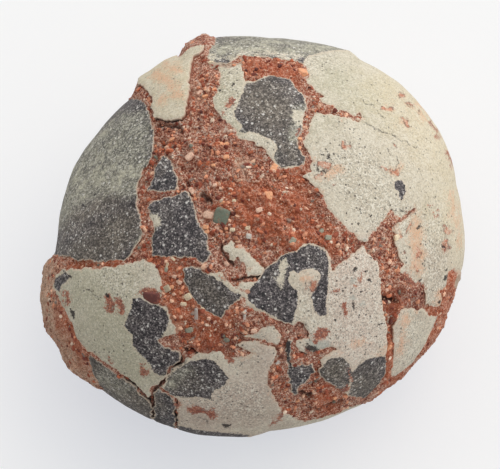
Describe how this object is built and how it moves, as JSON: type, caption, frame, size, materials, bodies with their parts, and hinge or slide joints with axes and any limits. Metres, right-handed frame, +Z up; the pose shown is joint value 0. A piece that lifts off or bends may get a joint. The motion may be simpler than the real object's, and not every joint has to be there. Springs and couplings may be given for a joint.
{
  "type": "fossil dinosaur egg",
  "caption": "Round, slightly flattened fossil egg: cracked eggshell plates cemented into rough red sandstone, lying on a small flat spot.",
  "frame": {"origin": "middle of the footprint, on the surface that the egg rests on", "axes": "+Z up, square to the flat spot that the egg rests on; +Y from the front, the side the sandstone crust shows at the lower left, to the back; +X to the right"},
  "size_m": [0.1406, 0.139, 0.0937],
  "materials": {
    "egg_stone": "matt pale and charcoal eggshell plates, rough between them as granular red-brown sandstone"
  },
  "bodies": {
    "root": {"fossil_egg": "egg_stone"}
  },
  "joints": []
}
